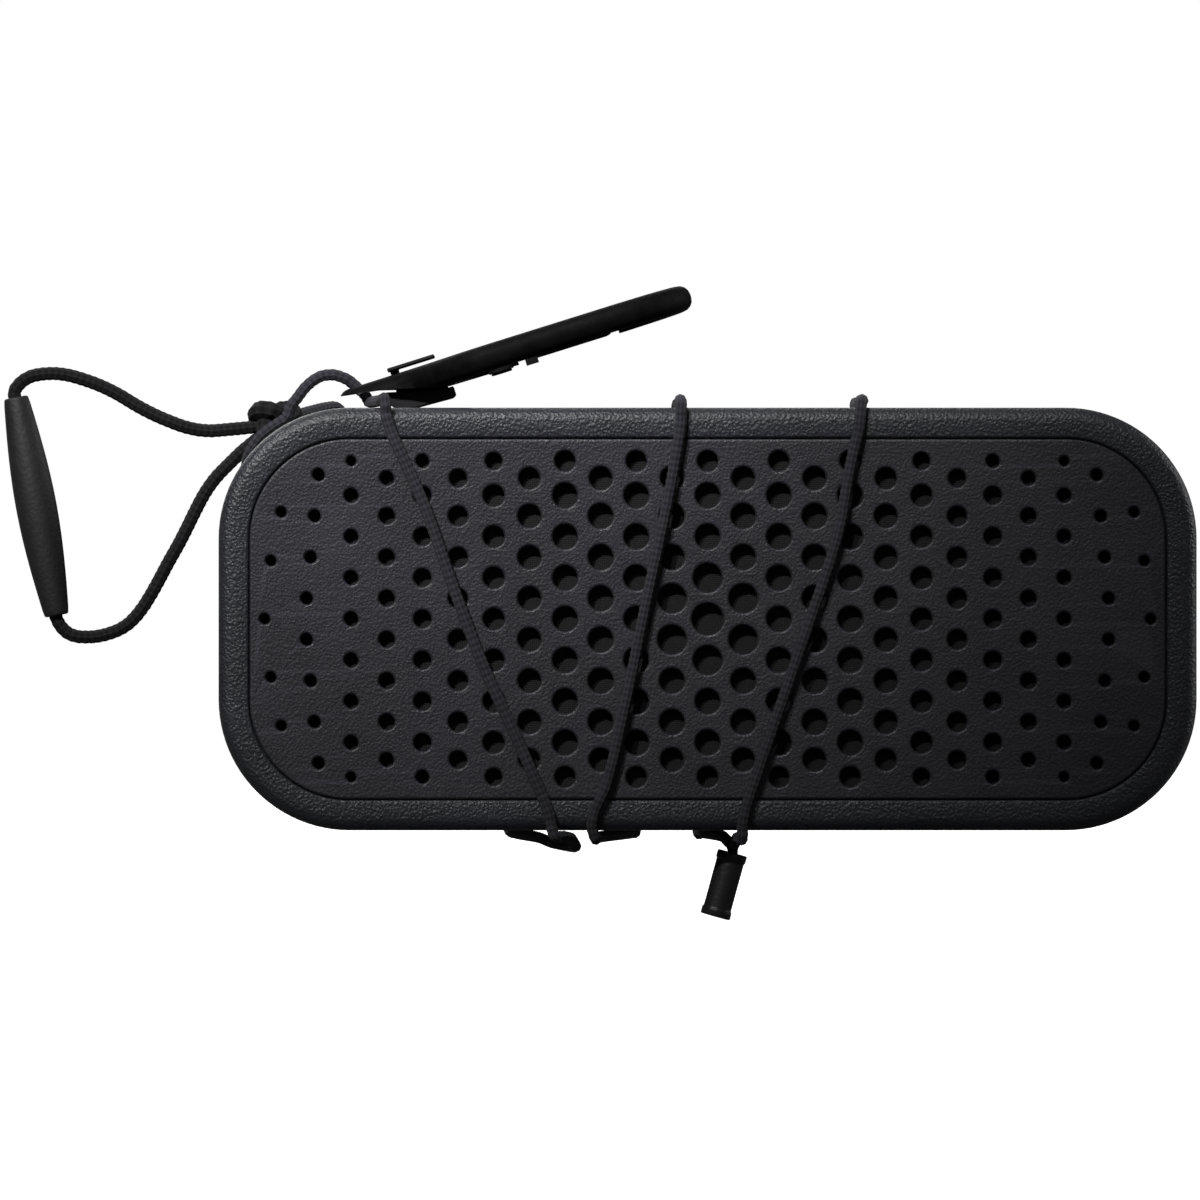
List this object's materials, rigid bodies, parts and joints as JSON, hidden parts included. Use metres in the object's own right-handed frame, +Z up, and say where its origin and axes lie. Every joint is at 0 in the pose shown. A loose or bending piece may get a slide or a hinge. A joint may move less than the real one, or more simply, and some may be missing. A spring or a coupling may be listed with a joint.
{
  "type": "shower speaker",
  "caption": "Rounded rectangular portable speaker with a perforated rubber grille, wrapped in an elastic cord, with a wrist strap and a carabiner.",
  "frame": {"origin": "middle of the whole object's footprint, at its lowest point (the end of the cord stopper)", "axes": "+X to the right as seen from the front, -Y out of the grille, +Z up; the flat feet face +Y"},
  "size_m": [0.2206, 0.0574, 0.1178],
  "materials": {
    "bumper_rubber": "matte, fine leather grain",
    "grille_rubber": "matte",
    "shell_plastic": "matte",
    "soft_rubber": "matte",
    "mesh_cloth": "fine weave",
    "inner_plastic": "satin",
    "cone_paper": "matte",
    "steel": "plated",
    "ferrite": "matte",
    "copper": "satin",
    "board_laminate": "satin",
    "cell_wrap": "gloss",
    "clear_lens": "clear",
    "elastic_braid": "braided",
    "cord_braid": "braided",
    "grip_rubber": "matte",
    "carabiner_coat": "satin black",
    "stopper_plastic": "satin"
  },
  "bodies": {
    "speaker_body": {"front_bezel": "bumper_rubber", "rear_bumper": "bumper_rubber", "front_grille": "grille_rubber", "rear_shell": "shell_plastic", "main_gasket": "soft_rubber", "rear_foot_left": "soft_rubber", "rear_foot_right": "soft_rubber", "left_surround": "soft_rubber", "right_surround": "soft_rubber", "radiator_surround": "soft_rubber", "acoustic_mesh": "mesh_cloth", "front_baffle": "inner_plastic", "left_driver_frame": "inner_plastic", "right_driver_frame": "inner_plastic", "radiator_frame": "inner_plastic", "battery_bracket": "inner_plastic", "aux_socket": "inner_plastic", "power_switch": "inner_plastic", "volume_down_switch": "inner_plastic", "play_switch": "inner_plastic", "volume_up_switch": "inner_plastic", "case_screw_1": "steel", "case_screw_2": "steel", "case_screw_3": "steel", "case_screw_4": "steel", "lanyard_post": "steel", "port_door_pin": "steel", "bluetooth_module": "steel", "usb_socket": "steel", "left_magnet": "ferrite", "right_magnet": "ferrite", "main_board": "board_laminate", "port_board": "board_laminate", "button_board": "board_laminate", "battery_cell_upper": "cell_wrap", "battery_cell_lower": "cell_wrap", "status_led": "clear_lens", "elastic_cord": "elastic_braid"},
    "wrist_strap": {"wrist_knot": "cord_braid", "wrist_cord": "cord_braid", "wrist_grip": "grip_rubber"},
    "carabiner": {"carabiner_frame": "carabiner_coat", "gate_rivet": "carabiner_coat", "gate_spring": "steel", "carabiner_keeper": "soft_rubber"},
    "gate": {"carabiner_gate": "carabiner_coat"},
    "stopper": {"cord_stopper": "stopper_plastic"},
    "door": {"port_door": "soft_rubber"},
    "left_moving_coil": {"left_cone": "cone_paper", "left_dust_cap": "cone_paper", "left_voice_coil": "copper"},
    "right_moving_coil": {"right_cone": "cone_paper", "right_dust_cap": "cone_paper", "right_voice_coil": "copper"},
    "passive_radiator": {"radiator_plate": "steel"},
    "power_key": {"power_button": "soft_rubber"},
    "volume_down_key": {"volume_down_button": "soft_rubber"},
    "play_key": {"play_button": "soft_rubber"},
    "volume_up_key": {"volume_up_button": "soft_rubber"}
  },
  "joints": [
    {"name": "carabiner_swing", "type": "hinge", "parent": "speaker_body", "child": "carabiner", "pos_m": [-0.044, -0.0069, 0.098], "axis": [0, -1, 0], "range_deg": [0, 30]},
    {"name": "gate_hinge", "type": "hinge", "parent": "carabiner", "child": "gate", "pos_m": [-0.01908, 0.0057, 0.10564], "axis": [0.299, 0, -0.9542], "range_deg": [0, 25]},
    {"name": "strap_swing", "type": "hinge", "parent": "speaker_body", "child": "wrist_strap", "pos_m": [-0.0604, -0.0009, 0.0852], "axis": [0, 1, 0], "range_deg": [-8, 25]},
    {"name": "stopper_swing", "type": "hinge", "parent": "speaker_body", "child": "stopper", "pos_m": [0.025, -0.0149, 0.0124], "axis": [0, 1, 0], "range_deg": [-20, 20]},
    {"name": "door_hinge", "type": "hinge", "parent": "speaker_body", "child": "door", "pos_m": [0.1076, 0.0075, 0.0556], "axis": [0, 0, 1], "range_deg": [0, 95]},
    {"name": "left_cone_travel", "type": "slide", "parent": "speaker_body", "child": "left_moving_coil", "axis": [0, 1, 0], "range_m": [-0.0008, 0.0008]},
    {"name": "right_cone_travel", "type": "slide", "parent": "speaker_body", "child": "right_moving_coil", "axis": [0, 1, 0], "range_m": [-0.0008, 0.0008]},
    {"name": "radiator_travel", "type": "slide", "parent": "speaker_body", "child": "passive_radiator", "axis": [0, 1, 0], "range_m": [-0.0015, 0.0015]},
    {"name": "power_press", "type": "slide", "parent": "speaker_body", "child": "power_key", "axis": [0, 0, -1], "range_m": [0, 0.0006]},
    {"name": "volume_down_press", "type": "slide", "parent": "speaker_body", "child": "volume_down_key", "axis": [0, 0, -1], "range_m": [0, 0.0006]},
    {"name": "play_press", "type": "slide", "parent": "speaker_body", "child": "play_key", "axis": [0, 0, -1], "range_m": [0, 0.0006]},
    {"name": "volume_up_press", "type": "slide", "parent": "speaker_body", "child": "volume_up_key", "axis": [0, 0, -1], "range_m": [0, 0.0006]}
  ]
}
